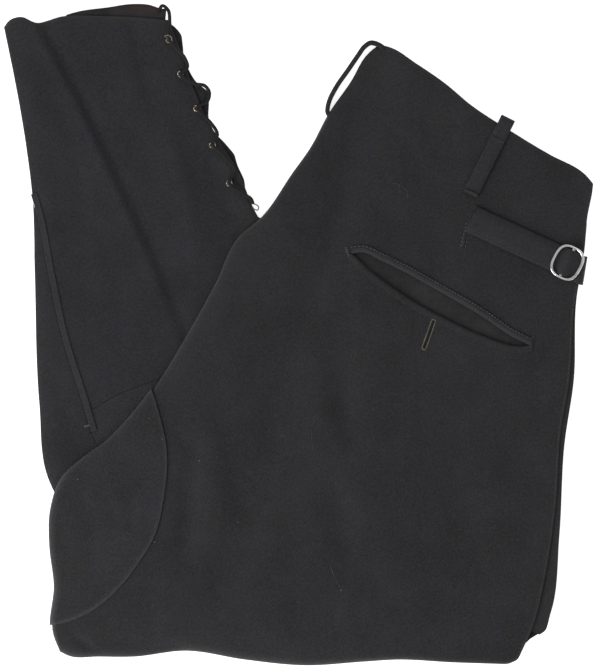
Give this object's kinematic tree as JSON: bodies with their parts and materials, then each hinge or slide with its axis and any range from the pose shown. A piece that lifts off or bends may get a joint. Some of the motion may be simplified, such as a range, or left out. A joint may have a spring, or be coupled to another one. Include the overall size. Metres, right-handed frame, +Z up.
{
  "type": "folded laced knee breeches",
  "caption": "Dark wool breeches lying folded in half, lower legs turned up under the thighs, with a knee patch, slanted back pocket, cinch strap and laced calf.",
  "frame": {"origin": "on the surface the garment lies on, under the middle of its outline", "axes": "+Z up from that surface, +Y towards the waist and the hem, +X towards the outseam"},
  "size_m": [0.471, 0.5296, 0.0212],
  "materials": {
    "wool": "milled wool, short nap, nearly black with a blue cast",
    "calf_wool": "the same wool, worn smoother on the calf",
    "patch_wool": "a second wool, slightly lighter",
    "pocket_cotton": "dark cotton twill",
    "facing_cotton": "dark brown cotton facing",
    "lace_cotton": "braided cotton lace, nearly black",
    "eyelet_metal": "small worn metal eyelets",
    "buckle_steel": "polished metal slide"
  },
  "bodies": {
    "root": {"hidden_layers": "wool", "back_panel": "wool", "front_panel": "wool", "belt_loop_side": "wool", "belt_loop_back": "wool", "cinch_strap": "wool", "pocket_welt_upper": "wool", "pocket_welt_lower": "wool", "calf_back_panel": "calf_wool", "calf_front_panel": "calf_wool", "calf_seam": "calf_wool", "knee_patch": "patch_wool", "knee_patch_under": "patch_wool", "pocket_bag": "pocket_cotton", "hem_facing": "facing_cotton", "lace": "lace_cotton", "eyelet_1": "eyelet_metal", "eyelet_2": "eyelet_metal", "eyelet_3": "eyelet_metal", "eyelet_4": "eyelet_metal", "eyelet_5": "eyelet_metal", "buckle": "buckle_steel"}
  },
  "joints": []
}
